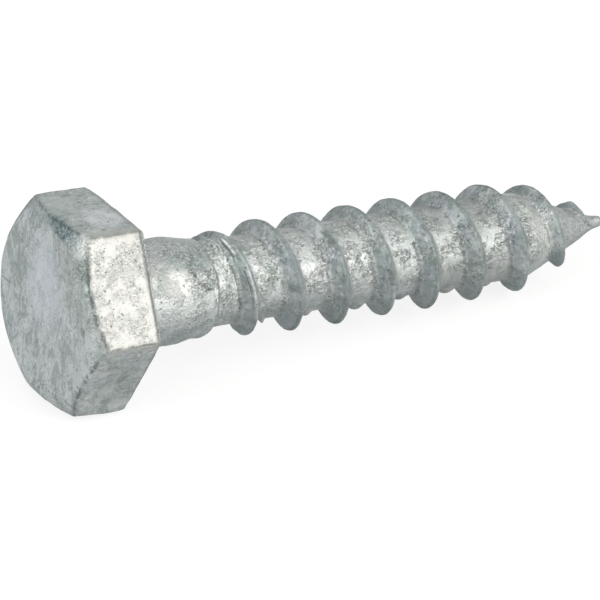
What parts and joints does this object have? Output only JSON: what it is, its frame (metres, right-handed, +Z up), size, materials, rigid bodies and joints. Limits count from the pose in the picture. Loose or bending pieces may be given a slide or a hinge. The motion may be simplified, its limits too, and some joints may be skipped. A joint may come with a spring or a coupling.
{
  "type": "lag screw",
  "caption": "Hot-dip galvanised lag screw with a chamfered hexagon head, plain shank, coarse right-hand wood thread and gimlet point.",
  "frame": {"origin": "on the surface the screw lies on, under the centre of its bounding box", "axes": "+X level, along the screw from head to point; +Z up; +Y across the screw. The screw's own axis dips 5 degrees towards the point, because it rests on the head and on a thread crest"},
  "size_m": [0.056, 0.0194, 0.0174],
  "materials": {
    "galvanised_steel": "hot-dip zinc, mottled matt grey with brighter flecks and fine lumps"
  },
  "bodies": {
    "root": {"lag_screw": "galvanised_steel"}
  },
  "joints": []
}
